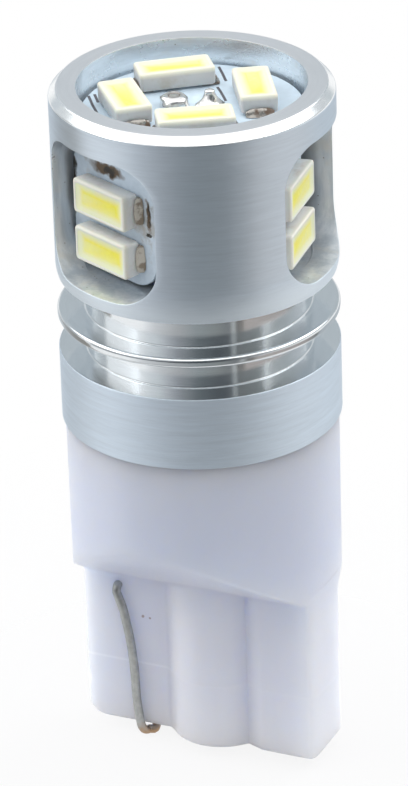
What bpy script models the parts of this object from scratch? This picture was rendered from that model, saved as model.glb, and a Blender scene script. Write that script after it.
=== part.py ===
"""Wedge base LED bulb: a turned aluminium housing, a tower of small LED boards and a moulded wedge base.

Metres, +Z up. The axis of the bulb is the Z axis and Z = 0 is the lowest point of the contact wires.
The broad faces of the blade look along -Y and +Y, and its narrow ends along -X and +X.
Angles round the axis start at -Y and turn towards +X.
"""
import math

import bmesh
import bpy
from mathutils import Matrix, Vector

MM = 0.001
FIT = 0.03 * MM                 # clearance wherever two pieces of this small bulb meet
TINY = 0.001 * MM               # welding distance for meshes

# Heights, from the bottom up
WIRE_DIAMETER = 0.32 * MM
BLADE_LENGTH = 6.15 * MM
SHOULDER_HEIGHT = 3.10 * MM
SKIRT_HEIGHT = 3.68 * MM
COLLAR_HEIGHT = 2.69 * MM
LOWER_GROOVE = 1.20 * MM
FIN_THICKNESS = 0.36 * MM
UPPER_GROOVE = 1.29 * MM
HEAD_HEIGHT = 6.98 * MM

# Housing
HOUSING_RADIUS = 5.00 * MM
GROOVE_DEPTH = 0.97 * MM
HEAD_WALL = 0.97 * MM
CORE_WALL = 0.93 * MM
COLLAR_WALL = 0.80 * MM
GROOVE_RADIUS = HOUSING_RADIUS - GROOVE_DEPTH
HEAD_BORE = HOUSING_RADIUS - HEAD_WALL
CORE_BORE = GROOVE_RADIUS - CORE_WALL
COLLAR_BORE = HOUSING_RADIUS - COLLAR_WALL
COLLAR_BORE_DEPTH = 2.30 * MM
RIM_CHAMFER = 0.28 * MM
SMALL_CHAMFER = 0.10 * MM
FIN_ROUNDING = 0.13 * MM
HEAD_FLOOR = 0.48 * MM          # metal left under the head's bore
TURNING_STEPS = 60

# LED packages, as large as the top board has room for
LED_LENGTH = 0.54 * HOUSING_RADIUS
LED_WIDTH = 0.26 * HOUSING_RADIUS
LED_BODY = 0.65 * MM            # height of the plastic body
LED_STANDOFF = 0.10 * MM        # the body stands this far off its board
LED_CORNER = 0.13 * MM
LED_EDGE = 0.05 * MM
LENS_RIM = 0.16 * MM            # width of the frame round the phosphor
LENS_DEPTH = 0.15 * MM
LENS_CORNER = 0.16 * MM
FOOT_LENGTH = 0.50 * MM
FOOT_INSET = 0.15 * MM          # the solder is this much narrower than the body on each side
FOOT_TOE = 0.18 * MM            # solder in front of the package's end
FOOT_CLIMB = 0.18 * MM          # solder climbing that end

# Boards
BOARD_THICKNESS = 0.60 * MM
TOP_BOARD_DEPTH = 0.95 * MM     # its upper face, below the rim
TOP_BOARD_GAP = 0.13 * MM       # from its edge to the bore
TOP_BOARD_RADIUS = HEAD_BORE - TOP_BOARD_GAP
SIDE_BOARD_BORDER = 0.85 * MM   # beside the packages
SIDE_BOARD_WIDTH = LED_LENGTH + 2 * SIDE_BOARD_BORDER
SIDE_BOARD_CORNER = 1.25 * MM
SIDE_BOARD_SETBACK = 1.66 * MM
SIDE_BOARD_REACH = HOUSING_RADIUS - SIDE_BOARD_SETBACK
SIDE_BOARD_SHIFT = -0.08 * HOUSING_RADIUS       # the three boards overlap like a pinwheel
SIDE_LED_GAP = 0.50 * MM
SIDE_LED_MIDDLE = 4.40 * MM     # below the rim, half-way between the two packages

# Windows milled through the head
WINDOW_COUNT = 3
WINDOW_TURN = -24.7             # degrees, first window
WINDOW_MARGIN = 0.50 * MM       # beside the board
WINDOW_WIDTH = SIDE_BOARD_WIDTH + 2 * WINDOW_MARGIN
WINDOW_CORNER = 1.45 * MM
WINDOW_TOP = 1.23 * MM          # below the rim
WINDOW_FLOOR = 0.53 * MM        # above the head's lower face
WINDOW_HEIGHT = HEAD_HEIGHT - WINDOW_TOP - WINDOW_FLOOR
WINDOW_START = CORE_BORE - GROOVE_DEPTH / 2     # the cutter starts here, inside the bore

# Seats of the top packages: distance from the axis as a share of the board's radius, bearing of
# the centre and bearing of the long side
TOP_LED_SEATS = {
    "front": (0.572, 26.9, 30.7),
    "right": (0.569, 124.8, 120.7),
    "back": (0.564, 220.2, 216.7),
    "left": (0.603, 302.5, 309.7),
}

# Supply leads and their solder
LEAD_DIAMETER = 0.36 * MM
LEAD_SPACING = 1.25 * MM
LEAD_BEARING = 109.0            # bearing of the line through both leads
LEAD_MIDDLE = (-0.08 * MM, 0.17 * MM)  # of the pair, from the axis
LEAD_TIPS = {"left": 0.36 * MM, "right": 0.55 * MM}     # above the top board
SOLDER_RADIUS = 0.52 * MM
SOLDER_DROP = 0.08 * MM         # the lead's tip stands this far out of its solder

# Base
SKIRT_SETBACK = 0.12 * MM       # inside the collar's wall
SKIRT_RADIUS = HOUSING_RADIUS - SKIRT_SETBACK
SKIRT_DRAFT = 0.04 * MM         # the skirt is this much smaller at its lower end
SPIGOT_LENGTH = 2.20 * MM
BLADE_WIDTH = 9.26 * MM
BLADE_SHIFT = 0.10 * MM         # the blade is moulded this far off the axis, towards +X
BLADE_THICKNESS = 2.30 * MM
LOBE_PROUD = 0.35 * MM
LOBE_START = 1.75 * MM
LOBE_RAMP = 0.75 * MM
RIDGE_RADIUS = 1.83 * MM
RIDGE_OFFSET = 0.33 * MM
RIDGE_PROUD = 0.83 * MM
SHOULDER_BULGE = 1.35           # 1 is a straight slope, more swells it
END_STEP_HEIGHT = 0.55 * MM     # above the foot of the shoulder, where the ends widen to the skirt
BASE_ROUNDING = 0.30 * MM
FOOT_ROUNDING = 0.25 * MM
FOOT_CORNER = 0.75 * MM         # the blade's bottom corner at -X
BASE_WALL = 1.48 * MM
CAVITY_RADIUS = SKIRT_RADIUS - BASE_WALL
CAVITY_DEPTH = 4.60 * MM        # below the skirt's upper face
COLUMN_GAP = 0.90 * MM          # one column of the moulding's mesh for this much wall,
COLUMN_BEND = math.radians(20)  # for this much bend in the outline
COLUMN_TURN = math.radians(9)   # or for this much turn round the axis, added together
SHOULDER_ROWS = 12

# Contact wires, the front one; the rear one is turned half round
CHANNEL_X = -1.95 * MM
CHANNEL_Y = -0.70 * MM
CHANNEL_CLEARANCE = 0.06 * MM
WIRE_GAP = 0.10 * MM            # air between the wire and the blade's bottom
WIRE_UNDER_X = -2.14 * MM       # where the wire turns up round the bottom edge
WIRE_FOOT_X = -2.29 * MM        # where it starts to climb the face
WIRE_HOOK = 0.36 * MM           # radius of that turn
WIRE_TUCK_X = -3.07 * MM
WIRE_TUCK = 5.70 * MM           # above the blade's bottom
TUCK_DEPTH = 0.80 * MM
WIRE_INNER_REACH = 3.20 * MM    # length beside the driver board

# The bent wire between foot and tip: x, height above the blade's bottom
WIRE_CLIMB = (
    (-2.42 * MM, 1.10 * MM),
    (-2.47 * MM, 2.35 * MM),
    (-2.60 * MM, 3.58 * MM),
    (-2.83 * MM, 4.78 * MM),
)

# Driver
DRIVER_MARGIN = 0.45 * MM       # to the core's bore on each side
DRIVER_WIDTH = 2 * (CORE_BORE - DRIVER_MARGIN)
DRIVER_THICKNESS = 0.60 * MM
DRIVER_LENGTH = 7.60 * MM
DRIVER_DROP = 0.30 * MM         # its lower edge, above the cavity's floor
LEAD_LAP = 1.60 * MM            # length of a supply lead beside the driver board

# Driver parts: kind, face (-1 front, +1 back), x as a share of the board's width, height above the
# board's foot, width, length, thickness
DRIVER_PARTS = {
    "bridge_rectifier": ("black_epoxy", -1, 0.11, 3.40 * MM, 2.00 * MM, 1.50 * MM, 0.90 * MM),
    "current_regulator": ("black_epoxy", 1, -0.09, 3.60 * MM, 1.60 * MM, 1.60 * MM, 0.80 * MM),
    "ceramic_capacitor": ("ceramic", 1, 0.18, 1.50 * MM, 1.00 * MM, 1.60 * MM, 0.80 * MM),
    "resistor_1": ("ceramic", -1, -0.29, 5.30 * MM, 0.80 * MM, 1.50 * MM, 0.45 * MM),
    "resistor_2": ("ceramic", 1, 0.36, 4.60 * MM, 0.80 * MM, 1.50 * MM, 0.45 * MM),
}

# Stations worked out from the sizes
Z_BLADE = WIRE_DIAMETER + WIRE_GAP
Z_SHOULDER = Z_BLADE + BLADE_LENGTH
Z_SKIRT = Z_SHOULDER + SHOULDER_HEIGHT
Z_COLLAR = Z_SKIRT + SKIRT_HEIGHT
Z_LOWER_GROOVE = Z_COLLAR + COLLAR_HEIGHT
Z_FIN = Z_LOWER_GROOVE + LOWER_GROOVE
Z_UPPER_GROOVE = Z_FIN + FIN_THICKNESS
Z_HEAD = Z_UPPER_GROOVE + UPPER_GROOVE
Z_RIM = Z_HEAD + HEAD_HEIGHT
Z_BASE_TOP = Z_COLLAR - FIT
Z_TOP_BOARD = Z_RIM - TOP_BOARD_DEPTH
Z_WINDOW_SILL = Z_HEAD + WINDOW_FLOOR
Z_CAVITY = Z_BASE_TOP - CAVITY_DEPTH
Z_DRIVER = Z_CAVITY + DRIVER_DROP

COLOURS = {
    "aluminium": ((0.60, 0.63, 0.66, 1), 0.30, 1.0),
    "base_plastic": ((0.80, 0.82, 0.90, 1), 0.45, 0.0),
    "board": ((0.62, 0.74, 0.84, 1), 0.40, 0.0),
    "led_body": ((0.86, 0.85, 0.80, 1), 0.50, 0.0),
    "phosphor": ((0.93, 0.85, 0.25, 1), 0.35, 0.0),
    "solder": ((0.55, 0.55, 0.55, 1), 0.30, 1.0),
    "tinned_wire": ((0.48, 0.49, 0.48, 1), 0.45, 1.0),
    "driver_board": ((0.05, 0.20, 0.10, 1), 0.50, 0.0),
    "black_epoxy": ((0.02, 0.02, 0.02, 1), 0.50, 0.0),
    "ceramic": ((0.60, 0.50, 0.38, 1), 0.40, 0.0),
}


def bearing(angle):
    """Unit vector at an angle from -Y towards +X."""
    turn = math.radians(angle)
    return Vector((math.sin(turn), -math.cos(turn), 0))


def clear_scene():
    for old in list(bpy.data.objects):
        bpy.data.objects.remove(old, do_unlink=True)


def new_collection(name):
    collection = bpy.data.collections.new(name)
    bpy.context.scene.collection.children.link(collection)
    return collection


def finish_material(name, kind):
    """Each object gets a material of its own, coloured by its kind."""
    colour, roughness, metallic = COLOURS[kind]
    material = bpy.data.materials.new(name + "_material")
    material.use_nodes = True
    shader = material.node_tree.nodes["Principled BSDF"]
    shader.inputs["Base Color"].default_value = colour
    shader.inputs["Roughness"].default_value = roughness
    shader.inputs["Metallic"].default_value = metallic
    material.diffuse_color = colour
    return material


def add_part(name, mesh, kind, place=None):
    part = bpy.data.objects.new(name, mesh)
    PARTS.objects.link(part)
    mesh.materials.clear()
    mesh.materials.append(finish_material(name, kind))
    if place is not None:
        part.matrix_world = place
    return part


def add_cutter(name, mesh, place=None):
    cutter = bpy.data.objects.new(name, mesh)
    CUTTERS.objects.link(cutter)
    cutter.hide_render = True
    cutter.display_type = "WIRE"
    if place is not None:
        cutter.matrix_world = place
    return cutter


def cut(part, cutter):
    boolean = part.modifiers.new("cut_" + cutter.name, "BOOLEAN")
    boolean.operation = "DIFFERENCE"
    boolean.solver = "EXACT"
    boolean.object = cutter


def smooth(mesh, angle=32):
    mesh.shade_smooth()
    mesh.set_sharp_from_angle(angle=math.radians(angle))


def arc_points(centre, radius, start, end, count):
    """Points on an arc, both ends included, with angles in degrees."""
    points = []
    for index in range(count + 1):
        turn = math.radians(start + (end - start) * index / count)
        points.append((centre[0] + radius * math.cos(turn), centre[1] + radius * math.sin(turn)))
    return points


def rounded_rectangle(length, width, corner, segments=3):
    points = []
    for sign_x, sign_y, start in ((1, 1, 0), (-1, 1, 90), (-1, -1, 180), (1, -1, 270)):
        centre = (sign_x * (length / 2 - corner), sign_y * (width / 2 - corner))
        points += arc_points(centre, corner, start, start + 90, segments)
    return points


def mesh_from_curve(name, curve):
    """Evaluate a curve to a closed mesh with its caps welded on."""
    guide = bpy.data.objects.new(name + "_guide", curve)
    bpy.context.scene.collection.objects.link(guide)
    bpy.context.view_layer.update()
    depsgraph = bpy.context.evaluated_depsgraph_get()
    mesh = bpy.data.meshes.new_from_object(guide.evaluated_get(depsgraph))
    mesh.name = name
    bpy.data.objects.remove(guide, do_unlink=True)
    bm = bmesh.new()
    bm.from_mesh(mesh)
    bmesh.ops.remove_doubles(bm, verts=bm.verts, dist=TINY)
    bmesh.ops.recalc_face_normals(bm, faces=bm.faces)
    bm.to_mesh(mesh)
    bm.free()
    return mesh


def prism(name, outline, low, high):
    """A flat outline in X and Y, made solid between two heights."""
    curve = bpy.data.curves.new(name, "CURVE")
    curve.dimensions = "2D"
    curve.fill_mode = "BOTH"
    curve.extrude = (high - low) / 2
    spline = curve.splines.new("POLY")
    spline.points.add(len(outline) - 1)
    for point, (x, y) in zip(spline.points, outline):
        point.co = (x, y, 0, 1)
    spline.use_cyclic_u = True
    mesh = mesh_from_curve(name, curve)
    mesh.transform(Matrix.Translation((0, 0, (high + low) / 2)))
    return mesh


def wire(name, route, diameter):
    """A round wire along a list of points, eight sided with flat ends."""
    curve = bpy.data.curves.new(name, "CURVE")
    curve.dimensions = "3D"
    curve.bevel_depth = diameter / 2
    curve.bevel_resolution = 2
    curve.use_fill_caps = True
    spline = curve.splines.new("POLY")
    spline.points.add(len(route) - 1)
    for point, place in zip(spline.points, route):
        point.co = (*place, 1)
    mesh = mesh_from_curve(name, curve)
    mesh.shade_smooth()
    mesh.set_sharp_from_angle(angle=math.radians(60))
    return mesh


def cylinder(name, radius, low, high, sides=48):
    mesh = bpy.data.meshes.new(name)
    bm = bmesh.new()
    bmesh.ops.create_cone(bm, cap_ends=True, segments=sides, radius1=radius, radius2=radius,
                          depth=high - low)
    bm.to_mesh(mesh)
    bm.free()
    mesh.transform(Matrix.Translation((0, 0, (high + low) / 2)))
    return mesh


def turned(name, profile, steps):
    """A closed profile of (radius, height) points spun round Z by a Screw modifier."""
    mesh = bpy.data.meshes.new(name)
    points = [(radius, 0, height) for radius, height in profile]
    edges = [(index, (index + 1) % len(points)) for index in range(len(points))]
    mesh.from_pydata(points, edges, [])
    spun = bpy.data.objects.new(name, mesh)
    screw = spun.modifiers.new("turn", "SCREW")
    screw.axis = "Z"
    screw.steps = steps
    screw.render_steps = steps
    screw.use_merge_vertices = True
    screw.merge_threshold = TINY
    screw.use_smooth_shade = True
    return spun


def housing_profile():
    """Down the outside from the rim, then up the inside."""
    chamfer = SMALL_CHAMFER
    outer = HOUSING_RADIUS
    core = GROOVE_RADIUS
    fillet = SMALL_CHAMFER
    points = [(HEAD_BORE + chamfer / 2, Z_RIM), (outer - RIM_CHAMFER, Z_RIM)]
    points += arc_points((outer - RIM_CHAMFER, Z_RIM - RIM_CHAMFER), RIM_CHAMFER, 70, 0, 3)
    points += [(outer, Z_HEAD + chamfer), (outer - chamfer, Z_HEAD)]
    points += [(core + fillet, Z_HEAD), (core, Z_HEAD - fillet)]
    points += [(core, Z_UPPER_GROOVE + fillet), (core + fillet, Z_UPPER_GROOVE)]
    fin_edge = outer - FIN_ROUNDING
    points += arc_points((fin_edge, Z_UPPER_GROOVE - FIN_ROUNDING), FIN_ROUNDING, 90, 0, 3)
    points += arc_points((fin_edge, Z_FIN + FIN_ROUNDING), FIN_ROUNDING, 0, -90, 3)
    points += [(core + fillet, Z_FIN), (core, Z_FIN - fillet)]
    points += [(core, Z_LOWER_GROOVE + fillet), (core + fillet, Z_LOWER_GROOVE)]
    points += [(outer - chamfer, Z_LOWER_GROOVE), (outer, Z_LOWER_GROOVE - chamfer)]
    points += [(outer, Z_COLLAR + chamfer), (outer - chamfer, Z_COLLAR), (COLLAR_BORE, Z_COLLAR)]
    collar_ceiling = Z_COLLAR + COLLAR_BORE_DEPTH
    points += [(COLLAR_BORE, collar_ceiling), (CORE_BORE, collar_ceiling)]
    head_floor = Z_HEAD + HEAD_FLOOR
    points += [(CORE_BORE, head_floor), (HEAD_BORE, head_floor), (HEAD_BORE, Z_RIM - chamfer / 2)]
    return points


def window_cutter(index):
    """A rounded slot that stands upright and points out of the head."""
    outline = rounded_rectangle(WINDOW_WIDTH, WINDOW_HEIGHT, WINDOW_CORNER, 6)
    mesh = prism("window_cutter_%d" % index, outline, WINDOW_START, HOUSING_RADIUS + RIM_CHAMFER)
    turn = WINDOW_TURN + 360 * index / WINDOW_COUNT
    place = upright_frame(turn, 0, Z_WINDOW_SILL + WINDOW_HEIGHT / 2)
    return add_cutter("window_cutter_%d" % index, mesh, place)


def upright_frame(turn, shift, height, reach=0):
    """Local X runs sideways round the bulb, local Y up and local Z straight out of the axis."""
    out = bearing(turn)
    side = bearing(turn + 90)
    frame = Matrix((side, Vector((0, 0, 1)), out)).transposed().to_4x4()
    frame.translation = side * shift + out * reach + Vector((0, 0, height))
    return frame


def build_housing():
    housing = turned("heat_sink_housing", housing_profile(), TURNING_STEPS)
    PARTS.objects.link(housing)
    housing.data.materials.append(finish_material(housing.name, "aluminium"))
    for index in range(WINDOW_COUNT):
        cut(housing, window_cutter(index))
    housing.modifiers.new("even_shading", "WEIGHTED_NORMAL")


def build_led(name, place):
    """A package on its board: body, phosphor lens and two solder feet. Local Z leaves the board."""
    low = LED_STANDOFF
    high = LED_STANDOFF + LED_BODY
    body = add_part(name, prism(name, rounded_rectangle(LED_LENGTH, LED_WIDTH, LED_CORNER), low, high),
                    "led_body", place)
    bevel = body.modifiers.new("soft_edges", "BEVEL")
    bevel.width = LED_EDGE
    bevel.segments = 1
    bevel.limit_method = "ANGLE"
    bevel.angle_limit = math.radians(60)
    length = LED_LENGTH - 2 * LENS_RIM
    width = LED_WIDTH - 2 * LENS_RIM
    recess = rounded_rectangle(length, width, LENS_CORNER)
    cup = prism(name + "_cup", recess, high - LENS_DEPTH, high + LENS_DEPTH)
    cut(body, add_cutter(name + "_cup", cup, place))
    fill = rounded_rectangle(length - 2 * FIT, width - 2 * FIT, LENS_CORNER - FIT)
    lens = prism(name + "_phosphor", fill, high - LENS_DEPTH + FIT, high - FIT)
    add_part(name + "_phosphor", lens, "phosphor", place)
    for side, letter in ((-1, "a"), (1, "b")):
        build_foot("%s_foot_%s" % (name, letter), place, side)


def build_foot(name, place, side):
    """Solder under one end of a package, with a fillet that climbs its end face."""
    end = LED_LENGTH / 2
    under = LED_STANDOFF - FIT
    outline = [
        (end - FOOT_LENGTH, FIT),
        (end + FIT + FOOT_TOE, FIT),
        (end + 2 * FIT, LED_STANDOFF + FOOT_CLIMB),
        (end + FIT, LED_STANDOFF + FOOT_CLIMB),
        (end + FIT, under),
        (end - FOOT_LENGTH, under),
    ]
    half_width = LED_WIDTH / 2 - FOOT_INSET
    mesh = prism(name, outline, -half_width, half_width)
    stand_up = Matrix.Rotation(math.radians(90), 4, "X")
    face_out = Matrix.Rotation(0 if side > 0 else math.pi, 4, "Z")
    add_part(name, mesh, "solder", place @ face_out @ stand_up)


def build_top_board():
    low = Z_TOP_BOARD - BOARD_THICKNESS
    board = add_part("top_led_board", cylinder("top_led_board", TOP_BOARD_RADIUS, low, Z_TOP_BOARD, 64),
                     "board")
    smooth(board.data)
    for side, centre in lead_centres().items():
        hole = cylinder("lead_hole_" + side, LEAD_DIAMETER / 2 + FIT, low - FIT, Z_TOP_BOARD + FIT, 16)
        cut(board, add_cutter("lead_hole_" + side, hole, Matrix.Translation(centre)))
    for name, (share, seat, facing) in TOP_LED_SEATS.items():
        centre = bearing(seat) * TOP_BOARD_RADIUS * share
        frame = Matrix.Rotation(math.radians(facing), 4, "Z")
        frame.translation = Vector((centre.x, centre.y, Z_TOP_BOARD))
        build_led("top_led_" + name, frame)


def build_side_boards():
    low = Z_WINDOW_SILL + FIT
    high = Z_TOP_BOARD - BOARD_THICKNESS - FIT
    outline = rounded_rectangle(SIDE_BOARD_WIDTH, high - low, SIDE_BOARD_CORNER, 5)
    for index in range(WINDOW_COUNT):
        name = "side_led_board_%d" % (index + 1)
        turn = WINDOW_TURN + 360 * index / WINDOW_COUNT
        place = upright_frame(turn, SIDE_BOARD_SHIFT, (low + high) / 2, SIDE_BOARD_REACH)
        add_part(name, prism(name, outline, -BOARD_THICKNESS, 0), "board", place)
        for word, side in (("upper", 1), ("lower", -1)):
            height = Z_RIM - SIDE_LED_MIDDLE + side * (LED_WIDTH + SIDE_LED_GAP) / 2
            seat = upright_frame(turn, SIDE_BOARD_SHIFT, height, SIDE_BOARD_REACH)
            build_led("side_led_%d_%s" % (index + 1, word), seat)


def lead_centres():
    middle = Vector((*LEAD_MIDDLE, 0))
    half = bearing(LEAD_BEARING) * LEAD_SPACING / 2
    return {"left": middle - half, "right": middle + half}


def build_supply_leads():
    """Stiff leads from the driver up through the top board, each soldered there."""
    clear_of_board = DRIVER_THICKNESS / 2 + FIT + LEAD_DIAMETER / 2
    driver_top = Z_DRIVER + DRIVER_LENGTH
    for side, centre in lead_centres().items():
        tip = LEAD_TIPS[side]
        beside = math.copysign(clear_of_board, centre.y)
        route = [
            (centre.x, centre.y, Z_TOP_BOARD + tip),
            (centre.x, centre.y, driver_top + LEAD_LAP),
            (centre.x, beside, driver_top + LEAD_DIAMETER),
            (centre.x, beside, driver_top - LEAD_LAP),
        ]
        add_part("supply_lead_" + side, wire("supply_lead_" + side, route, LEAD_DIAMETER), "tinned_wire")
        build_solder_joint("solder_joint_" + side, centre, tip)


def build_solder_joint(name, centre, tip):
    """A hollow-sided cone of solder round a lead."""
    bore = LEAD_DIAMETER / 2 + FIT
    height = tip - SOLDER_DROP
    neck = bore + FIT
    points = [(neck, FIT + height)]
    for share in (0.75, 0.5, 0.25):
        points.append((neck + (SOLDER_RADIUS - neck) * (1 - share) ** 1.5, FIT + height * share))
    points += [(SOLDER_RADIUS, FIT), (bore, FIT), (bore, FIT + height)]
    cone = turned(name, points, 20)
    PARTS.objects.link(cone)
    cone.data.materials.append(finish_material(name, "solder"))
    cone.location = (centre.x, centre.y, Z_TOP_BOARD)


def rise(height):
    """How far the shoulder stands out past the blade's flat at a height above its foot."""
    share = min(height / SHOULDER_HEIGHT, 1)
    reach = SKIRT_RADIUS - BLADE_THICKNESS / 2
    return reach * (1 - (1 - share) ** SHOULDER_BULGE)


def rounded_inset(height, radius):
    """How far a rounded bottom edge draws a wall in at a height above the bottom."""
    if height >= radius:
        return 0
    return radius - math.sqrt(radius ** 2 - (radius - height) ** 2)


def soft_min(first, second, width):
    gap = max(width - abs(first - second), 0) / width
    return min(first, second) - gap * gap * width / 4


def soft_max(first, second, width):
    return -soft_min(-first, -second, width)


def blade_half_thickness(across):
    """Half thickness of the blade at a place across it, on the face with the wire at negative places."""
    flat = BLADE_THICKNESS / 2
    half_chord = across - RIDGE_OFFSET
    ridge_centre = flat + RIDGE_PROUD - RIDGE_RADIUS
    ridge = ridge_centre + math.sqrt(max(RIDGE_RADIUS ** 2 - half_chord ** 2, 0))
    share = min(max((across - LOBE_START) / LOBE_RAMP, 0), 1)
    lobe = flat + LOBE_PROUD * share * share * (3 - 2 * share)
    return soft_max(ridge, lobe, BASE_ROUNDING)


def inside_base(x, y, height):
    """Positive inside the moulding at a height above the blade's bottom, negative outside."""
    across = x - BLADE_SHIFT
    facing = 1 if y < 0 else -1
    thickness = blade_half_thickness(across * facing) - rounded_inset(height, FOOT_ROUNDING)
    shoulder_height = height - BLADE_LENGTH
    thickness = soft_max(thickness, BLADE_THICKNESS / 2 + rise(shoulder_height), BASE_ROUNDING)
    half_width = BLADE_WIDTH / 2 + max(shoulder_height - END_STEP_HEIGHT, 0)
    corner = FOOT_CORNER if across < 0 else FOOT_ROUNDING
    half_width -= rounded_inset(height, corner)
    skirt_height = Z_BASE_TOP - Z_BLADE
    radius = SKIRT_RADIUS - SKIRT_DRAFT * (1 - height / skirt_height)
    blade = soft_min(thickness - abs(y), half_width - abs(across), BASE_ROUNDING)
    return soft_min(blade, radius - math.hypot(x, y), BASE_ROUNDING / 2)


def base_radius(turn, height):
    """Distance from the axis to the moulding's wall, found by halving."""
    low = 0
    high = SKIRT_RADIUS
    for _ in range(40):
        middle = (low + high) / 2
        if inside_base(middle * math.cos(turn), middle * math.sin(turn), height) > 0:
            low = middle
        else:
            high = middle
    return low


def base_columns():
    """Directions round the base, closest together where the blade's outline turns a corner."""
    fine_step = math.radians(0.5)
    fine = [fine_step * index for index in range(-1, 362)]
    outline = []
    for turn in fine:
        outline.append(Vector((math.cos(turn), math.sin(turn))) * base_radius(turn, BLADE_LENGTH / 2))
    half = []
    spent = 1
    for index in range(1, len(fine) - 1):
        if spent >= 1:
            half.append(fine[index])
            spent = 0
        arriving = outline[index] - outline[index - 1]
        leaving = outline[index + 1] - outline[index]
        spent += leaving.length / COLUMN_GAP + arriving.angle(leaving) / COLUMN_BEND + fine_step / COLUMN_TURN
    if spent < 1:
        half.pop()
    return half + [turn + math.pi for turn in half]


def skirt_edge(turn):
    """Height above the blade's bottom where the skirt's wall ends, in one direction."""
    reach = SKIRT_RADIUS - BLADE_THICKNESS / 2
    beyond_face = max(SKIRT_RADIUS * abs(math.sin(turn)) - BLADE_THICKNESS / 2, 0)
    over_face = SHOULDER_HEIGHT * (1 - (1 - beyond_face / reach) ** (1 / SHOULDER_BULGE))
    end = BLADE_WIDTH / 2 + math.copysign(BLADE_SHIFT, math.cos(turn))
    beyond_end = max(SKIRT_RADIUS * abs(math.cos(turn)) - end, 0)
    return BLADE_LENGTH + max(over_face, END_STEP_HEIGHT + beyond_end)


def base_levels(turn):
    """Heights above the blade's bottom in one direction, closest together where the wall bends."""
    levels = [FOOT_ROUNDING * share for share in (0, 0.12, 0.4, 1)]
    levels += [FOOT_CORNER * share for share in (0.55, 1)]
    levels += [BLADE_LENGTH * share for share in (0.4, 0.7)]
    start = BLADE_LENGTH - BASE_ROUNDING
    edge = skirt_edge(turn)
    for row in range(SHOULDER_ROWS + 1):
        share = row / SHOULDER_ROWS
        levels.append(start + (edge - start) * share * share * (3 - 2 * share))
    levels += [edge + BASE_ROUNDING / 3, Z_BASE_TOP - Z_BLADE]
    return levels


def base_rings():
    """Rings of points from the blade's bottom up to the top of the spigot."""
    columns = base_columns()
    walls = []
    for turn in columns:
        wall = []
        for level in base_levels(turn):
            radius = base_radius(turn, level)
            wall.append((radius * math.cos(turn), radius * math.sin(turn), Z_BLADE + level))
        walls.append(wall)
    rings = [list(ring) for ring in zip(*walls)]
    spigot = COLLAR_BORE - FIT
    top = Z_BASE_TOP + SPIGOT_LENGTH
    steps = ((spigot, Z_BASE_TOP), (spigot, top - SMALL_CHAMFER), (spigot - SMALL_CHAMFER, top))
    for radius, height in steps:
        rings.append([(radius * math.cos(turn), radius * math.sin(turn), height) for turn in columns])
    return rings


def loft(name, rings):
    """A closed mesh through rings of equally many points, listed from the bottom up."""
    bm = bmesh.new()
    rows = [[bm.verts.new(point) for point in ring] for ring in rings]
    count = len(rows[0])
    for lower, upper in zip(rows, rows[1:]):
        for index in range(count):
            following = (index + 1) % count
            bm.faces.new((lower[index], lower[following], upper[following], upper[index]))
    bm.faces.new(list(reversed(rows[0])))
    bm.faces.new(rows[-1])
    mesh = bpy.data.meshes.new(name)
    bm.to_mesh(mesh)
    bm.free()
    return mesh


def build_base():
    base = add_part("wedge_base", loft("wedge_base", base_rings()), "base_plastic")
    smooth(base.data, 40)
    top = Z_BASE_TOP + SPIGOT_LENGTH
    cavity = cylinder("base_cavity", CAVITY_RADIUS, Z_CAVITY, top + FIT)
    cut(base, add_cutter("base_cavity", cavity))
    bore = WIRE_DIAMETER / 2 + CHANNEL_CLEARANCE
    for side, half_turn in (("front", 0), ("rear", math.pi)):
        turn = Matrix.Rotation(half_turn, 4, "Z")
        channel = cylinder("wire_channel_" + side, bore, 0, Z_CAVITY + FIT, 12)
        place = turn @ Matrix.Translation((CHANNEL_X, CHANNEL_Y, 0))
        cut(base, add_cutter("wire_channel_" + side, channel, place))
        tuck = cylinder("tuck_hole_" + side, WIRE_DIAMETER / 2 + FIT, -TUCK_DEPTH, TUCK_DEPTH, 12)
        mouth = (WIRE_TUCK_X, -BLADE_THICKNESS / 2, Z_BLADE + WIRE_TUCK)
        place = turn @ Matrix.Translation(mouth) @ Matrix.Rotation(math.radians(90), 4, "X")
        cut(base, add_cutter("tuck_hole_" + side, tuck, place))


def smooth_route(points, steps):
    """Points on a smooth curve through the given ones, with the same number of steps in each span."""
    knots = [Vector(point) for point in points]
    knots = [knots[0] * 2 - knots[1]] + knots + [knots[-1] * 2 - knots[-2]]
    route = []
    for index in range(1, len(knots) - 2):
        before, start, end, after = knots[index - 1:index + 3]
        for step in range(steps):
            t = step / steps
            route.append(0.5 * (2 * start + (end - before) * t
                                + (2 * before - 5 * start + 4 * end - after) * t ** 2
                                + (3 * start - before - 3 * end + after) * t ** 3))
    route.append(knots[-2])
    return route


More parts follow.
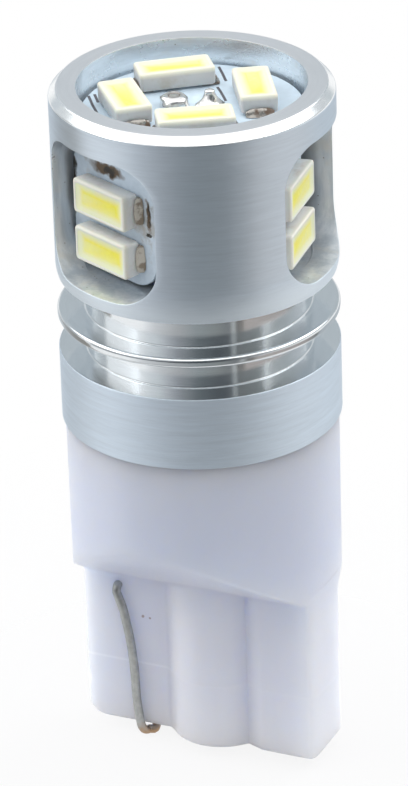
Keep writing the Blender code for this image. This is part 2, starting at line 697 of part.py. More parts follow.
def contact_wire_route():
    """Down the channel, round the blade's bottom edge, up its face and into the small hole."""
    radius = WIRE_DIAMETER / 2
    face = -(BLADE_THICKNESS / 2 + FIT + radius)
    under = Z_BLADE - WIRE_GAP - radius
    bend = radius + 2 * FIT
    route = [Vector((CHANNEL_X, CHANNEL_Y, Z_CAVITY + WIRE_INNER_REACH))]
    for y, z in arc_points((CHANNEL_Y - bend, under + bend), bend, 0, -90, 4):
        route.append(Vector((CHANNEL_X, y, z)))
    hook = arc_points((face + WIRE_HOOK, under + WIRE_HOOK), WIRE_HOOK, -90, -180, 4)
    for step, (y, z) in enumerate(hook):
        share = step / (len(hook) - 1)
        route.append(Vector((WIRE_UNDER_X + (WIRE_FOOT_X - WIRE_UNDER_X) * share, y, z)))
    tuck = Z_BLADE + WIRE_TUCK
    climb = [route[-1]]
    climb += [Vector((x, face, Z_BLADE + height)) for x, height in WIRE_CLIMB]
    climb.append(Vector((WIRE_TUCK_X, face, tuck - bend)))
    route += smooth_route(climb, 3)[1:]
    for y, z in arc_points((face + bend, tuck - bend), bend, 180, 90, 4)[1:]:
        route.append(Vector((WIRE_TUCK_X, y, z)))
    route.append(Vector((WIRE_TUCK_X, -BLADE_THICKNESS / 2 + TUCK_DEPTH / 2, tuck)))
    return route


def build_contact_wires():
    route = contact_wire_route()
    for side, half_turn in (("front", 0), ("rear", math.pi)):
        name = "contact_wire_" + side
        add_part(name, wire(name, route, WIRE_DIAMETER), "tinned_wire", Matrix.Rotation(half_turn, 4, "Z"))


def build_driver():
    outline = rounded_rectangle(DRIVER_WIDTH, DRIVER_LENGTH, 2 * SMALL_CHAMFER, 2)
    half = DRIVER_THICKNESS / 2
    stand_up = Matrix.Rotation(math.radians(90), 4, "X")
    centre = Matrix.Translation((0, 0, Z_DRIVER + DRIVER_LENGTH / 2))
    add_part("driver_board", prism("driver_board", outline, -half, half), "driver_board",
             centre @ stand_up)
    low = half + FIT
    for name, (kind, face, share, height, width, length, thickness) in DRIVER_PARTS.items():
        mesh = prism(name, rounded_rectangle(width, length, SMALL_CHAMFER, 1), low, low + thickness)
        turn = Matrix.Rotation(0 if face < 0 else math.pi, 4, "Z")
        place = Matrix.Translation((DRIVER_WIDTH * share, 0, Z_DRIVER + height)) @ turn @ stand_up
        add_part(name, mesh, kind, place)


clear_scene()
PARTS = new_collection("wedge_base_led_bulb")
CUTTERS = new_collection("cutters")
build_housing()
build_base()
build_top_board()
build_side_boards()
build_supply_leads()
build_contact_wires()
build_driver()
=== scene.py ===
"""Looks of the wedge base LED bulb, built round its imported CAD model.

Points are worked out in millimetres, in the row frame, and become metres when a mesh is made.
"""

from math import asin, copysign, cos, degrees, hypot, pi, radians, sin, sqrt, tan

import bmesh
import bpy
from mathutils import Matrix, Vector, noise


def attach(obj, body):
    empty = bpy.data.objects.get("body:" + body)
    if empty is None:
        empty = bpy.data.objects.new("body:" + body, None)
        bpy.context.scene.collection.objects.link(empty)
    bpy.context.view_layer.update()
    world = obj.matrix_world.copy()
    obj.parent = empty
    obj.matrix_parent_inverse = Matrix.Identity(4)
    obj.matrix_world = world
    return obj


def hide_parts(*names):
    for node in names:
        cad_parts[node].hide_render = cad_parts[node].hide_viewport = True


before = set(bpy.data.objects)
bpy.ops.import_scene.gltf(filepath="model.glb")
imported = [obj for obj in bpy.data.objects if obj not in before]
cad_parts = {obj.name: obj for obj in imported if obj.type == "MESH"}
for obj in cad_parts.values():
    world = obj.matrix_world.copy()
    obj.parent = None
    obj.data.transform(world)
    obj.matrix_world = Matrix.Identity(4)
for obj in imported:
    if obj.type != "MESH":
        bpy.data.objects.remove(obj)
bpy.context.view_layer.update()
scene = bpy.context.scene

MM = 0.001
FIT = 0.03
DISC_SIDES = 96  # of the top board and the floor

# Heights, as in the CAD model
Z_BLADE = 0.42
BLADE_LENGTH = 6.15
SHOULDER_HEIGHT = 3.1
Z_COLLAR = 13.35
Z_LOWER_GROOVE = 16.04
Z_FIN = 17.24
Z_UPPER_GROOVE = 17.6
Z_HEAD = 18.89
Z_RIM = 25.87

# Housing
HOUSING_RADIUS = 5
GROOVE_RADIUS = 4.03
HEAD_BORE = 4.03
CORE_BORE = 3.1
COLLAR_BORE = 4.2
COLLAR_BORE_DEPTH = 2.3
RIM_CHAMFER = 0.28
RIM_ROUNDING = 0.11  # at both edges of the chamfer
SMALL_CHAMFER = 0.1
GROOVE_ROUNDING = 0.045
BORE_EDGE = 0.02
FIN_ROUNDING = 0.13
HEAD_FLOOR = 0.48
HEAD_FOOT_LEAN = 0.06  # how far the wall turns in below the windows
FOLD = 0.02  # width of the narrow faces that keep a flat's shading flat
WINDOW_COUNT = 3
WINDOW_TURN = -24.7
WINDOW_WIDTH = 5.4
WINDOW_HEIGHT = 5.22
WINDOW_CORNER = 1.45
WINDOW_TOP = 1.23
WINDOW_EDGE = 0.03  # rounding of the milled edges
WALL_ABOVE_WINDOW = 0.3  # plain wall kept above the windows
WALL_BELOW_WINDOW = 0.08
WALL_COLUMNS = 64  # mesh columns for each window's third of the head
WALL_ROWS = 24

# LED packages
LED_LENGTH = 2.7
LED_WIDTH = 1.3
LED_BODY = 0.65
LED_STANDOFF = 0.1
LED_FRONT = LED_STANDOFF + LED_BODY
LED_CORNER = 0.13
LED_ROUNDING = 0.08
LENS_RIM = 0.16
LENS_DEPTH = 0.15
LENS_FADE = 0.32  # width over which the yellow fades to the frame
LENS_SHIFT = (0.046, -0.1, 0.044)  # how the yellow lies off each package's middle

# Boards
BOARD_THICKNESS = 0.6
BOARD_EDGE = 0.03
TOP_BOARD_DEPTH = 0.95
TOP_BOARD_RADIUS = 3.9
SIDE_BOARD_WIDTH = 4.4
SIDE_BOARD_CORNER = 1.25
SIDE_BOARD_REACH = 3.34
SIDE_BOARD_SHIFT = -0.4
SIDE_LED_GAP = 0.5
SIDE_LED_MIDDLE = 4.4
TOP_LED_SEATS = {
    "front": (0.572, 26.9, 30.7),
    "right": (0.569, 124.8, 120.7),
    "back": (0.564, 220.2, 216.7),
    "left": (0.603, 302.5, 309.7),
}
PRINT_WIDTH = 0.11
PRINTED_LINES = (  # on the top board, across and away from the camera
    ((-3.61, 1.3), (-3.47, 0.5), (-3.31, -0.23)),
    ((-3.4, 1.42), (-3.27, 0.7)),
    ((0.98, 3.53), (1.1, 2.9), (1.21, 2.23)),
    ((0.9, 1.7), (0.99, 1.35), (1.08, 0.92), (1.17, 0.45)),
)
FLUX_AND_SHADE_SPOTS = (  # brown, then black, on the board behind the left window: place and half sizes; all flux but the last black spot, a tall band at the board's left edge, which is painted shade of the gap by the wall, with some flux
    ((-0.75, 23.36, 0.85, 0.24), (1.4, 22.25, 0.13, 0.65), (0.95, 23.75, 0.65, 0.05)),
    ((-0.64, 23.34, 0.3, 0.15), (-1.75, 23.75, 0.1, 0.22), (1.4, 21.58, 0.14, 0.1),
     (1.45, 22.3, 0.06, 0.5), (-2.62, 22.6, 0.2, 1.6)),
)
LEAD_SPACING = 1.25
LEAD_BEARING = 109
LEAD_MIDDLE = (-0.08, 0.17)
LEAD_TIPS = {"left": 0.36, "right": 0.55}
SOLDER_RADIUS = 0.52
JOINT_SIDES = 40

# Base
SKIRT_RADIUS = 4.88
SKIRT_DRAFT = 0.04
SPIGOT_LENGTH = 2.2
BLADE_WIDTH = 9.26
BLADE_SHIFT = 0.1
BLADE_THICKNESS = 2.3
LOBE_PROUD = 0.35
LOBE_START = 1.75
LOBE_RAMP = 0.75
RIDGE_RADIUS = 1.83
RIDGE_OFFSET = 0.33
RIDGE_PROUD = 0.83
SHOULDER_BULGE = 1.35
END_STEP_HEIGHT = 0.55
BASE_ROUNDING = 0.3
FOOT_ROUNDING = 0.25
FOOT_CORNER = 0.75
MOULD_LINE = 2.6  # above the blade's bottom, where the two mould halves meet
MOULD_LINE_PROUD = 0.015
PLASTIC_SPECKS = (((-2.13, -1.15, 4.97), 0.06, 0.07), ((-1.85, -1.15, 4.93), 0.05, 0.05))

# Contact wires
WIRE_DIAMETER = 0.32
WIRE_SIDES = 16
WIRE_GAP = 0.1
CHANNEL_X = -1.95
CHANNEL_Y = -0.7
WIRE_UNDER_X = -2.14
WIRE_FOOT_X = -2.29
WIRE_HOOK = 0.36
WIRE_TUCK_X = -3.07
WIRE_TUCK = 5.7
TUCK_DEPTH = 0.8
WIRE_CLIMB = ((-2.42, 1.1), (-2.47, 2.35), (-2.6, 3.58), (-2.83, 4.78))

# Camera, fitted to the housing's edges in the photograph
CAMERA_TURN = 24.7  # degrees from -Y towards +X
CAMERA_ELEVATION = 26.286
CAMERA_ROLL = -1.9185
CAMERA_DISTANCE = 183.166
CAMERA_SIDE = 0.0702
CAMERA_AIM = 13.856  # height that the camera is level with at the axis
FOCAL_PIXELS = 5140.54
FRAME_PIXELS = 786  # the photograph's long side
SENSOR = 36

# Studio
SCREEN_RADIUS = 500
SCREEN_ROWS = 9
SCREEN_COLUMNS = 33
FLOOR_RADIUS = 26
FLOOR_DROP = -0.002
FLOOR_WHITE = 0.88  # how far the floor is lifted to white where it is seen

Z_BASE_TOP = Z_COLLAR - FIT
Z_TOP_BOARD = Z_RIM - TOP_BOARD_DEPTH
Z_WINDOW_SILL = Z_RIM - WINDOW_TOP - WINDOW_HEIGHT
WINDOW_TURNS = [WINDOW_TURN + 360 * index / WINDOW_COUNT for index in range(WINDOW_COUNT)]


def bearing(angle):
    turn = radians(angle)
    return Vector((sin(turn), -cos(turn), 0))


def up(height):
    return Vector((0, 0, height))


def on_wall(radius, angle, height):
    return bearing(angle) * radius + up(height)


def direction(turn, lift):
    return on_wall(cos(radians(lift)), turn, sin(radians(lift)))


def between(start, end, share):
    return start + (end - start) * share


def furthest(high, inside, steps):
    """The largest number up to high that is still inside."""
    low = 0
    for _ in range(steps):
        middle = (low + high) / 2
        if inside(middle):
            low = middle
        else:
            high = middle
    return low


def eased(share):
    return share * share * (3 - 2 * share)


def soft_min(first, second, width):
    gap = max(width - abs(first - second), 0) / width
    return min(first, second) - gap * gap * width / 4


def soft_max(first, second, width):
    return -soft_min(-first, -second, width)


def arc_points(centre, radius, start, end, count):
    turns = [radians(between(start, end, index / count)) for index in range(count + 1)]
    return [(centre[0] + radius * cos(turn), centre[1] + radius * sin(turn)) for turn in turns]


def edge_points(centre, radius, start, end, count):
    """An arc with a narrow straight at each end, so that smooth shading stops there."""
    points = arc_points(centre, radius, start, end, count)
    sense = copysign(FOLD, end - start)
    first = radians(start)
    last = radians(end)
    before = (points[0][0] + sin(first) * sense, points[0][1] - cos(first) * sense)
    after = (points[-1][0] - sin(last) * sense, points[-1][1] + cos(last) * sense)
    return [before] + points + [after]


def rounded_rectangle(length, width, corner, segments=5):
    points = []
    for sign_x, sign_y, start in ((1, 1, 0), (-1, 1, 90), (-1, -1, 180), (1, -1, 270)):
        centre = (sign_x * (length / 2 - corner), sign_y * (width / 2 - corner))
        points += arc_points(centre, corner, start, start + 90, segments)
    return points


def along_sides(corners, parts_of):
    """Points along a closed outline, each of whose sides has its number of parts."""
    points = []
    for index, (x, y) in enumerate(corners):
        to_x, to_y = corners[(index + 1) % len(corners)]
        parts = parts_of(index)
        points += [(between(x, to_x, step / parts), between(y, to_y, step / parts)) for step in range(parts)]
    return points


# Materials


def shader_of(made):
    return made.node_tree.nodes["Principled BSDF"]


def new_material(name, roughness=0.5, metallic=0, **constants):
    """A Principled material; constants are named for the shader's sockets, with _ for a space."""
    made = bpy.data.materials.new(name)
    made.use_nodes = True
    for key, value in {"Roughness": roughness, "Metallic": metallic, **constants}.items():
        shader_of(made).inputs[key.replace("_", " ")].default_value = value
    return made


def dress(made, **outputs):
    """Links outputs to the shader's sockets, named in the same way."""
    for key, value in outputs.items():
        made.node_tree.links.new(value, shader_of(made).inputs[key.replace("_", " ")])
    return made


def source_of(made, name):
    return shader_of(made).inputs[name].links[0].from_socket


def node(owner, kind, output=None, **settings):
    """A new node, or one of its outputs, with its settings, then its inputs: by name, or by number as i0, i1.

    Its owner is a material, or an output of a node in the same material.
    """
    tree = owner.node_tree if isinstance(owner, bpy.types.Material) else owner.id_data
    new = tree.nodes.new("ShaderNode" + kind)
    for key, value in settings.items():
        if hasattr(new, key):
            setattr(new, key, value)
            continue
        socket = new.inputs[int(key[1:]) if key[0] == "i" else key]
        if isinstance(value, bpy.types.NodeSocket):
            tree.links.new(value, socket)
        else:
            socket.default_value = value
    return new if output is None else new.outputs[output]


def maths(operation, *values, kind="Math"):
    """What a Math node, or a VectorMath node, makes of its values, of which the first is an output."""
    inputs = {"i%d" % index: value for index, value in enumerate(values)}
    output = "Value" if kind == "Math" or operation == "LENGTH" else "Vector"
    return node(values[0], kind, output, operation=operation, **inputs)


def vector_maths(operation, *values):
    return maths(operation, *values, kind="VectorMath")


def place_in_mm(made, stretch=(1, 1, 1)):
    """Object coordinates in millimetres, stretched."""
    return node(made, "Mapping", "Vector", Vector=node(made, "TexCoord", "Object"),
                Scale=tuple(value / MM for value in stretch))


def height_in_mm(made):
    return node(made, "SeparateXYZ", "Z", Vector=place_in_mm(made))


def tint_of(made):
    return node(made, "Attribute", "Fac", attribute_name="tint")


def grain(made, scale, detail=3, roughness=0.55, where=None):
    return node(made, "TexNoise", "Fac", Vector=where or place_in_mm(made), Scale=scale, Detail=detail,
                Roughness=roughness)


def spread(value, low, high, to_low=0, to_high=1):
    """A value stretched from one range to another, held at its ends."""
    return node(value, "MapRange", "Result", i0=value, i1=low, i2=high, i3=to_low, i4=to_high)


def varied(spots, low, high):
    """From low to high, by a grain's spots."""
    return spread(spots, 0.3, 0.7, low, high)


def mix(share, first, second):
    colours = [value if isinstance(value, bpy.types.NodeSocket) else (*value, 1) for value in (first, second)]
    return node(share, "Mix", 2, data_type="RGBA", Factor=share, i6=colours[0], i7=colours[1])


def mottled(spots, colour, contrast):
    """A colour made darker and lighter by a grain's spots."""
    dark = tuple(value * (1 - contrast) for value in colour)
    light = tuple(min(value * (1 + contrast), 1) for value in colour)
    return mix(varied(spots, 0, 1), dark, light)


def bump(height, distance, **under):
    """A surface's normal, raised by a height; under gives the Normal of a bump below it."""
    return node(height, "Bump", "Normal", Height=height, Distance=distance * MM, **under)


def ragged_place(made, reach):
    """Millimetres, pushed about by noise so that the edges of spots are uneven."""
    where = place_in_mm(made)
    push = node(made, "TexNoise", "Color", Vector=where, Scale=3, Detail=4)
    push = vector_maths("SUBTRACT", push, (0.5, 0.5, 0.5))
    return vector_maths("ADD", where, vector_maths("MULTIPLY", push, (reach, reach, reach)))


def spots_share(where, spots):
    """1 inside any of the spots, each a centre with its half width and half height, and 0 outside."""
    total = 0
    for centre, half_width, half_height in spots:
        away = vector_maths("SUBTRACT", where, centre)
        scaled = vector_maths("DIVIDE", away, (half_width, half_width, half_height))
        share = spread(vector_maths("LENGTH", scaled), 1.15, 0.7)
        total = maths("MAXIMUM", share, total)
    return total


def turning_marks(made, along, across):
    """Coordinates whose noise makes rings: slow round the axis, fast across the tool marks."""
    x, y, z = node(made, "SeparateXYZ", Vector=node(made, "TexCoord", "Object")).outputs
    flat = node(made, "CombineXYZ", "Vector", X=x, Y=y)
    run = maths("ADD", vector_maths("LENGTH", flat), z)
    slow_x, slow_y = [maths("MULTIPLY", part, along / MM) for part in (x, y)]
    fast = maths("MULTIPLY", run, across / MM)
    return node(made, "CombineXYZ", "Vector", X=slow_x, Y=slow_y, Z=fast)


def turned_aluminium(name, colour, roughness, marks, anisotropy, contrast):
    """Metal with fine rings of tool marks; its gloss is drawn out across the marks."""
    made = new_material("aluminium_" + name, roughness, 1, Anisotropic=anisotropy,
                        Anisotropic_Rotation=0.25)
    coarse = grain(made, 1, 5, 0.7, turning_marks(made, 0.5, 8))
    fine = grain(made, 1, 3, 0.6, turning_marks(made, 0.9, 26))
    return dress(made, Base_Color=mottled(coarse, colour, contrast),
                 Roughness=varied(fine, roughness * 0.9, roughness * 1.1),
                 Normal=bump(fine, marks / 2, Normal=bump(coarse, marks)),
                 Tangent=node(made, "Tangent", "Tangent", direction_type="RADIAL", axis="Z"))


def duller_foot_with_painted_light(made):
    """Makes the wall rougher towards the head's foot and below it, and paints light on the foot itself by
    lightening its colour.
    """
    height = height_in_mm(made)
    added = spread(height, Z_HEAD + 1.4, Z_HEAD + 0.3, 0, 0.24)
    # painted light: the foot's colour is lifted towards a pale blue white
    foot = maths("MULTIPLY", spread(height, Z_HEAD + 1.1, Z_HEAD + 0.3, 0, 0.7),
                 spread(height, Z_FIN, Z_UPPER_GROOVE))
    return dress(made, Roughness=maths("ADD", source_of(made, "Roughness"), added),
                 Base_Color=mix(foot, source_of(made, "Base Color"), (0.9, 0.96, 1)))


def inner_aluminium(name, stretch, dark, light, roughness, metallic, shade_by_boards):
    """Window walls and bore: streaks along the tool's path, flux stains and specks, and painted shade that
    darkens them by the boards.
    """
    made = new_material("aluminium_" + name, roughness, metallic)
    where = place_in_mm(made)
    stain = grain(made, 0.8, 4, 0.6)
    specks = node(made, "TexVoronoi", "Distance", Vector=where, Scale=3.2)
    streaks = grain(made, 2.6, 3, 0.6, place_in_mm(made, stretch))
    bare = mix(spread(streaks, 0.38, 0.62), dark, light)
    bare = mix(spread(stain, 0.54, 0.8), bare, (0.76, 0.74, 0.68))
    out = vector_maths("LENGTH", vector_maths("MULTIPLY", where, (1, 1, 0)))
    # painted shade in the recess: darker and bluer towards the bore, where the boards stand
    painted_shade_near_board = spread(out, HEAD_BORE + 0.5, HEAD_BORE + 0.1, 0, shade_by_boards)
    bare = mix(painted_shade_near_board, bare, (0.21, 0.25, 0.29))
    return dress(made, Base_Color=mix(spread(specks, 0.04, 0.09), (0.26, 0.22, 0.18), bare),
                 Roughness=varied(stain, roughness * 0.8, roughness * 1.25),
                 Normal=bump(grain(made, 5, where=place_in_mm(made, (1, 1, 4))), 0.003))


def moulded_plastic():
    """Translucent white plastic with painted shading, lighter and greyer towards the blade and darker and
    bluer towards the collar, a painted highlight along the mould line, and two brown specks.
    """
    made = new_material("base_plastic", 0.42, Subsurface_Weight=1, Subsurface_Scale=2.8 * MM,
                        Subsurface_Radius=(0.75, 0.85, 1))
    where = place_in_mm(made)
    across, _, height = node(made, "SeparateXYZ", Vector=where).outputs
    # painted shading: lighter and greyer low on the blade, darker and bluer up under the collar
    colour = mix(spread(height, 5.5, 8.5), (0.7, 0.705, 0.76), (0.63, 0.66, 0.765))
    cloud = grain(made, 0.35, 2)
    colour = mix(varied(cloud, 0, 0.1), colour, (0.86, 0.87, 0.9))
    # painted highlight along the mould line, fading out towards the ridge
    off_line = maths("ABSOLUTE", maths("SUBTRACT", height, Z_BLADE + MOULD_LINE))
    clear_of_ridge = spread(across, -0.7, -1.4, 0.15, 1)
    mould_line_highlight = maths("MULTIPLY", spread(off_line, 0.08, 0.01, 0, 0.24), clear_of_ridge)
    colour = mix(mould_line_highlight, colour, (0.94, 0.95, 0.98))
    specks = spots_share(ragged_place(made, 0.1), PLASTIC_SPECKS)
    fine = grain(made, 9)
    return dress(made, Base_Color=mix(specks, colour, (0.42, 0.35, 0.33)),
                 Roughness=varied(fine, 0.36, 0.48), Normal=bump(fine, 0.004))


def plain_finish(name, colour, roughness, metallic=0, mottle=0.12, scale=6, relief=0.004):
    """A colour with fine mottling and relief, for small pieces."""
    made = new_material(name, roughness, metallic)
    spots = grain(made, scale, 4)
    return dress(made, Base_Color=mottled(spots, colour, mottle),
                 Roughness=varied(spots, roughness * 0.8, roughness * 1.2),
                 Normal=bump(spots, relief))


def wire_finish():
    """Tinned copper, whose tin has gone brown at its foot."""
    made = plain_finish("tinned_wire", (0.42, 0.43, 0.42), 0.42, 0.85, 0.18, 5, 0.006)
    low = maths("ADD", height_in_mm(made), grain(made, 3.5))
    brown = spread(low, Z_BLADE + 0.75, Z_BLADE + 0.2)
    return dress(made, Base_Color=mix(brown, source_of(made, "Base Color"), (0.42, 0.28, 0.17)))


def phosphor_finish(name, strong, pale, rim):
    """Yellow in the middle, fading to the colour of the package's frame."""
    made = new_material(name, 0.35, Subsurface_Weight=0.2, Subsurface_Scale=0.2 * MM)
    spots = grain(made, 5, 4)
    middle = mix(spread(spots, 0.45, 0.8), strong, pale)
    ragged = maths("ADD", tint_of(made), spread(spots, 0.2, 0.8, -0.15, 0.15))
    return dress(made, Base_Color=mix(spread(ragged, 0.1, 0.95), rim, middle),
                 Normal=bump(grain(made, 12, 2), 0.006))


def package_finish(name, front, sides, dirt):
    """Pale moulding: its clean frame in one colour, its sides in another with patches of flux."""
    made = new_material(name, 0.42, Subsurface_Weight=0.1, Subsurface_Scale=0.2 * MM, Specular_IOR_Level=0.25)
    cloud = grain(made, 1.1, 5, 0.65)
    stained = mix(spread(cloud, 0.5, 0.75), sides, dirt)
    return dress(made, Base_Color=mix(tint_of(made), stained, front),
                 Roughness=varied(cloud, 0.32, 0.5), Normal=bump(grain(made, 7), 0.005))


def fluxed_solder(name, bare, flux, metallic, gloss):
    """Solder with patches of brown flux."""
    made = new_material(name, gloss, metallic)
    cloud = grain(made, 2.2, 4, 0.6)
    return dress(made, Base_Color=mix(spread(cloud, 0.48, 0.56), bare, flux),
                 Metallic=spread(cloud, 0.48, 0.56, metallic, 0),
                 Roughness=varied(cloud, gloss * 0.8, gloss * 1.5),
                 Normal=bump(grain(made, 6), 0.012))


def joint_solder():
    """Bright solder; its tint darkens the middle of the left joint's dimple to brown."""
    made = new_material("tin_solder", 0.16, 1)
    cloud = grain(made, 3)
    bare = mix(varied(cloud, 0, 1), (0.8, 0.8, 0.8), (0.88, 0.88, 0.87))
    return dress(made, Base_Color=mix(tint_of(made), bare, (0.2, 0.14, 0.1)),
                 Roughness=varied(cloud, 0.12, 0.28), Normal=bump(cloud, 0.01))


def stained_and_shaded_board(name, brown_spots, black_flux_and_shade_spots):
    """Pale solder mask with flux left by the soldering iron, and painted shade at the left board's edge."""
    made = new_material(name, 0.35)
    cloud = grain(made, 0.7, 4, 0.6)
    fine = grain(made, 4)
    colour = mix(varied(fine, 0, 1), (0.6, 0.7, 0.8), (0.68, 0.78, 0.88))
    colour = mix(spread(cloud, 0.56, 0.74), colour, (0.44, 0.4, 0.34))
    ragged = ragged_place(made, 0.5)
    # the black spots are flux, and the tall one at the board's left edge is painted shade of the gap by the
    # wall
    for spots, stain in ((brown_spots, (0.13, 0.085, 0.05)), (black_flux_and_shade_spots, (0.03, 0.025, 0.02))):
        if spots:
            colour = mix(spots_share(ragged, spots), colour, stain)
    return dress(made, Base_Color=colour, Roughness=spread(cloud, 0.4, 0.7, 0.4, 0.22),
                 Normal=bump(fine, 0.003))


# Meshes


def add_object(name, data):
    made = bpy.data.objects.new(name, data)
    scene.collection.objects.link(made)
    return made


def mesh_object(name, points, faces):
    """An object at the origin, of points in millimetres."""
    mesh = bpy.data.meshes.new(name)
    mesh.from_pydata([tuple(value * MM for value in point) for point in points], [], faces)
    return add_object(name, mesh)


def make_piece(name, shape, materials, replaced=(), angle=35, tint=None):
    """A mesh piece from a shape's points and faces, which rides on the bulb's one body.

    tint gives each point a share from 0 to 1, for its material to read.
    """
    piece = mesh_object("bulb_" + name, *shape)
    mesh = piece.data
    bm = bmesh.new()
    bm.from_mesh(mesh)
    bmesh.ops.remove_doubles(bm, verts=bm.verts, dist=0.0005 * MM)
    bmesh.ops.recalc_face_normals(bm, faces=bm.faces)
    bm.to_mesh(mesh)
    bm.free()
    for made in materials:
        mesh.materials.append(made)
    mesh.shade_smooth()
    mesh.set_sharp_from_angle(angle=radians(angle))
    if tint:
        shares = mesh.attributes.new("tint", "FLOAT", "POINT")
        for item, vertex in zip(shares.data, mesh.vertices):
            item.value = tint(vertex.co / MM)
    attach(piece, "root")
    if replaced:
        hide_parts(*replaced)
    return piece


def refinish(name, made):
    """Gives a CAD node's own shape a better material."""
    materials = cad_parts[name].data.materials
    materials.clear()
    materials.append(made)


def strip_faces(rows, columns, closed=True):
    """Quads between rows of points; a closed row joins its last point to its first."""
    faces = []
    for row in range(rows - 1):
        for column in range(columns if closed else columns - 1):
            after = (column + 1) % columns
            low = row * columns
            high = low + columns
            faces.append((low + column, low + after, high + after, high + column))
    return faces


def ring_solid(rings, place=Matrix()):
    """Points and faces of a closed solid through rings of equally many points, capped at both ends."""
    points = [place @ Vector(point) for ring in rings for point in ring]
    count = len(rings[0])
    faces = strip_faces(len(rings), count)
    return points, faces + [tuple(range(count)), tuple(range(len(points) - count, len(points)))]


def join_shapes(shapes):
    points = []
    faces = []
    for more_points, more_faces in shapes:
        start = len(points)
        points += more_points
        faces += [tuple(index + start for index in face) for face in more_faces]
    return points, faces


def lathe(profile, columns, first_angle):
    """A profile of (radius, height) turned round Z, open at both ends."""
    turns = [first_angle + 360 * column / columns for column in range(columns)]
    points = [on_wall(radius, turn, height) for radius, height in profile for turn in turns]
    return points, strip_faces(len(profile), columns)


# Housing


def window_outline(across, height, outset):
    """Scale that brings a direction from the window's centre to its outline, moved out by outset."""
    half_width = WINDOW_WIDTH / 2 - WINDOW_CORNER
    half_height = WINDOW_HEIGHT / 2 - WINDOW_CORNER

    def inside(scale):
        beyond_x = max(abs(across * scale) - half_width, 0)
        beyond_y = max(abs(height * scale) - half_height, 0)
        return hypot(beyond_x, beyond_y) < WINDOW_CORNER + outset

    return furthest(1, inside, 40)


def window_rings(turn, low, high):
    """Rings from the head's outer wall, round a window's edge, through it and onto the bore's wall."""
    half = 180 / WINDOW_COUNT
    corners = ((-half, high), (half, high), (half, low), (-half, low))
    border = along_sides(corners, lambda index: WALL_ROWS if index % 2 else WALL_COLUMNS)
    middle = Z_WINDOW_SILL + WINDOW_HEIGHT / 2

    def edge(outset):
        places = []
        for angle, height in border:
            across = HOUSING_RADIUS * radians(angle)
            scale = window_outline(across, height - middle, outset)
            places.append((across * scale, between(middle, height, scale)))
        return places

    def skin(radius, places, share):
        ring = []
        for (angle, height), (across, edge_height) in zip(border, places):
            edge_angle = degrees(asin(across / radius))
            angle = turn + between(angle, edge_angle, share)
            ring.append(on_wall(radius, angle, between(height, edge_height, share)))
        return ring

    def wall(places, radius, depth):
        side = bearing(turn + 90)
        return [side * across + on_wall(sqrt(radius ** 2 - across ** 2) + depth, turn, height)
                for across, height in places]

    outer = edge(WINDOW_EDGE)
    rings = [skin(HOUSING_RADIUS, outer, share) for share in (0, 0.3, 0.55, 0.75, 0.9, 1)]
    for lean in (30, 60, 90):
        places = edge(WINDOW_EDGE * (1 - sin(radians(lean))))
        rings.append(wall(places, HOUSING_RADIUS, -WINDOW_EDGE * (1 - cos(radians(lean)))))
    straight = edge(0)
    rings.append(wall(straight, HOUSING_RADIUS, -(HOUSING_RADIUS - HEAD_BORE) / 2))
    rings.append(wall(straight, HEAD_BORE, WINDOW_EDGE))
    rings += [skin(HEAD_BORE, outer, share) for share in (1, 0.8, 0.5, 0)]
    return rings


def rim_profile(low):
    """From the outer wall, over the rim and down into the bore."""
    edge = RIM_ROUNDING
    turn = edge * tan(radians(22.5))
    points = [(HOUSING_RADIUS, low)]
    points += edge_points((HOUSING_RADIUS - edge, Z_RIM - RIM_CHAMFER - turn), edge, 0, 45, 4)
    points += edge_points((HOUSING_RADIUS - RIM_CHAMFER - turn, Z_RIM - edge), edge, 45, 90, 4)
    points += edge_points((HEAD_BORE + BORE_EDGE, Z_RIM - BORE_EDGE), BORE_EDGE, 90, 180, 2)
    return points + [(HEAD_BORE, low)]


def groove_profile(ceiling, floor):
    edge = GROOVE_ROUNDING
    return (edge_points((GROOVE_RADIUS + edge, ceiling - edge), edge, 90, 180, 4)
            + edge_points((GROOVE_RADIUS + edge, floor + edge), edge, 180, 270, 4))


def body_profile(high):
    """From the outer wall under the windows, down over the grooves and up through the inside."""
    points = [(HOUSING_RADIUS - HEAD_FOOT_LEAN * share ** 2, between(high, Z_HEAD + SMALL_CHAMFER, share))
              for share in (step / 6 for step in range(6))]
    foot = HOUSING_RADIUS - HEAD_FOOT_LEAN - SMALL_CHAMFER
    points += arc_points((foot, Z_HEAD + SMALL_CHAMFER), SMALL_CHAMFER, 0, -90, 5)
    points.append((foot - FOLD, Z_HEAD))
    points += groove_profile(Z_HEAD, Z_UPPER_GROOVE)
    fin = HOUSING_RADIUS - FIN_ROUNDING
    points += edge_points((fin, Z_UPPER_GROOVE - FIN_ROUNDING), FIN_ROUNDING, 90, 0, 6)
    points += edge_points((fin, Z_FIN + FIN_ROUNDING), FIN_ROUNDING, 0, -90, 6)
    points += groove_profile(Z_FIN, Z_LOWER_GROOVE)
    edge = GROOVE_ROUNDING
    points += edge_points((HOUSING_RADIUS - edge, Z_LOWER_GROOVE - edge), edge, 90, 0, 5)
    points += edge_points((HOUSING_RADIUS - edge, Z_COLLAR + edge), edge, 0, -90, 5)
    step = Z_COLLAR + COLLAR_BORE_DEPTH
    floor = Z_HEAD + HEAD_FLOOR
    return points + [(COLLAR_BORE, Z_COLLAR), (COLLAR_BORE, step), (CORE_BORE, step), (CORE_BORE, floor),
                     (HEAD_BORE, floor), (HEAD_BORE, high)]


